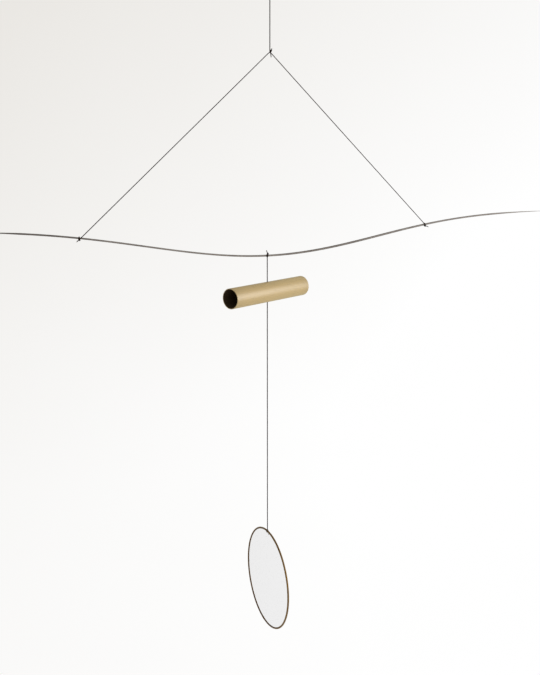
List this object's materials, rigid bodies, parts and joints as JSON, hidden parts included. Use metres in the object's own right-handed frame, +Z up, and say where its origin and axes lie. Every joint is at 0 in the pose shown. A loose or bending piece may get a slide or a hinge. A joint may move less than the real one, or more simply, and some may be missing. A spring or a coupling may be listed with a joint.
{
  "type": "hanging mobile sculpture",
  "caption": "Hanging mobile: a long bent rod on a cord bridle carries a brass tube and a glazed brass hoop on one cord.",
  "frame": {"origin": "the point of the top loop that rests on the hook which holds the mobile up", "axes": "+Z up along the hanging cord, +X along the cross bar towards its longer arm, +Y across it"},
  "size_m": [0.805, 0.135, 0.8489],
  "materials": {
    "cord": "matt three-strand twisted cord, brown black, ends a little frayed",
    "bar": "brown grey patinated rod, burnished paler along its left arm",
    "tube": "satin pale champagne brass, sawn and deburred ends",
    "hoop": "aged brown brass wire, specked",
    "glass": "thin clear glass, ground edge"
  },
  "bodies": {
    "hanger": {"hanging_cord": "cord"},
    "arm": {"bridle_cord": "cord", "cross_bar": "bar", "drop_cord": "cord"},
    "tube": {"brass_tube": "tube"},
    "hoop": {"hoop": "hoop", "glass_disc": "glass", "hoop_tie": "cord"}
  },
  "joints": [
    {"name": "arm_turn", "type": "hinge", "parent": "hanger", "child": "arm", "pos_m": [0, 0, -0.1], "axis": [0, 0, 1], "continuous": true},
    {"name": "tube_turn", "type": "hinge", "parent": "arm", "child": "tube", "pos_m": [-0.0037, 0, -0.392], "axis": [0, 0, 1], "continuous": true},
    {"name": "hoop_turn", "type": "hinge", "parent": "arm", "child": "hoop", "pos_m": [-0.0037, 0, -0.7135], "axis": [0, 0, 1], "continuous": true}
  ]
}
